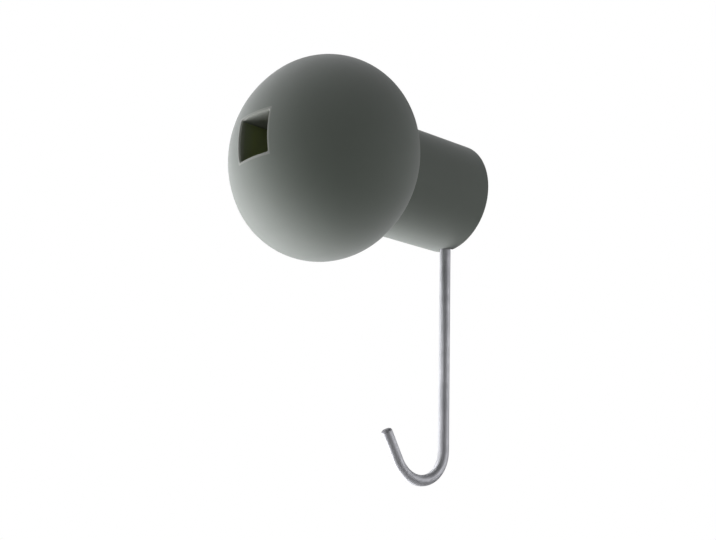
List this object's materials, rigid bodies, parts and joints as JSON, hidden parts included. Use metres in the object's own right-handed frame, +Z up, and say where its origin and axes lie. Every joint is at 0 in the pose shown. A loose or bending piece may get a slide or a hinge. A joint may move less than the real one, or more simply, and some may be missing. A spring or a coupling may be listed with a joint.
{
  "type": "coat hook",
  "caption": "Coat hook with a slightly flattened moulded ball on a round neck, a square socket through the ball to the wall screw's seat, and a bent wire hook hanging from the neck.",
  "frame": {"origin": "where the knob's axis and the wall screw's axis meet the wall, at the centre of the neck's back face", "axes": "-Y along the knob's axis, out from the wall; +Z up; +X to the right as seen from the front"},
  "size_m": [0.055, 0.0704, 0.11],
  "materials": {
    "knob": "matte grey-green moulding",
    "wire": "drawn steel wire, satin"
  },
  "bodies": {
    "root": {"knob_body": "knob", "wire_hook": "wire"}
  },
  "joints": []
}
